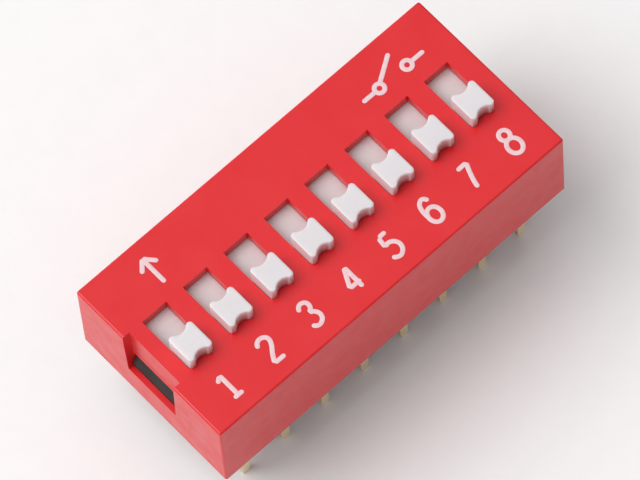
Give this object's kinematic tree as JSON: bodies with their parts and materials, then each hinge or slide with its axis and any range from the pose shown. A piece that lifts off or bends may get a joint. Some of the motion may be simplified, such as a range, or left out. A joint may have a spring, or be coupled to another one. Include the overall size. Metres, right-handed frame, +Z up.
{
  "type": "dip switch",
  "caption": "Through-hole dip switch: slotted red cover over a black base, a row of white slide actuators with grooved knobs, and two rows of gold-plated pins.",
  "frame": {"origin": "centre of the seating plane under the cover, where the body meets the board", "axes": "+X along the row from switch 1 to the last switch, +Y towards the closed side of the sliders, +Z up, away from the board"},
  "size_m": [0.0218, 0.01, 0.0104],
  "materials": {
    "cover_red": "fine moulded satin",
    "base_black": "moulded matte",
    "slider_white": "moulded satin",
    "contact_gold": "gold-plated spring strip",
    "terminal_gold": "gold-plated stamped sheet",
    "legend_ink": "printed white ink"
  },
  "bodies": {
    "housing": {"cover": "cover_red", "base": "base_black", "terminal_front_1": "terminal_gold", "terminal_front_2": "terminal_gold", "terminal_front_3": "terminal_gold", "terminal_front_4": "terminal_gold", "terminal_front_5": "terminal_gold", "terminal_front_6": "terminal_gold", "terminal_front_7": "terminal_gold", "terminal_front_8": "terminal_gold", "terminal_rear_1": "terminal_gold", "terminal_rear_2": "terminal_gold", "terminal_rear_3": "terminal_gold", "terminal_rear_4": "terminal_gold", "terminal_rear_5": "terminal_gold", "terminal_rear_6": "terminal_gold", "terminal_rear_7": "terminal_gold", "terminal_rear_8": "terminal_gold"},
    "switch_1": {"slider_1": "slider_white", "contact_1": "contact_gold"},
    "switch_2": {"slider_2": "slider_white", "contact_2": "contact_gold"},
    "switch_3": {"slider_3": "slider_white", "contact_3": "contact_gold"},
    "switch_4": {"slider_4": "slider_white", "contact_4": "contact_gold"},
    "switch_5": {"slider_5": "slider_white", "contact_5": "contact_gold"},
    "switch_6": {"slider_6": "slider_white", "contact_6": "contact_gold"},
    "switch_7": {"slider_7": "slider_white", "contact_7": "contact_gold"},
    "switch_8": {"slider_8": "slider_white", "contact_8": "contact_gold"}
  },
  "joints": [
    {"name": "slide_1", "type": "slide", "parent": "housing", "child": "switch_1", "axis": [0, 1, 0], "range_m": [0, 0.002]},
    {"name": "slide_2", "type": "slide", "parent": "housing", "child": "switch_2", "axis": [0, 1, 0], "range_m": [0, 0.002]},
    {"name": "slide_3", "type": "slide", "parent": "housing", "child": "switch_3", "axis": [0, 1, 0], "range_m": [0, 0.002]},
    {"name": "slide_4", "type": "slide", "parent": "housing", "child": "switch_4", "axis": [0, 1, 0], "range_m": [0, 0.002]},
    {"name": "slide_5", "type": "slide", "parent": "housing", "child": "switch_5", "axis": [0, 1, 0], "range_m": [0, 0.002]},
    {"name": "slide_6", "type": "slide", "parent": "housing", "child": "switch_6", "axis": [0, 1, 0], "range_m": [0, 0.002]},
    {"name": "slide_7", "type": "slide", "parent": "housing", "child": "switch_7", "axis": [0, 1, 0], "range_m": [0, 0.002]},
    {"name": "slide_8", "type": "slide", "parent": "housing", "child": "switch_8", "axis": [0, 1, 0], "range_m": [0, 0.002]}
  ]
}
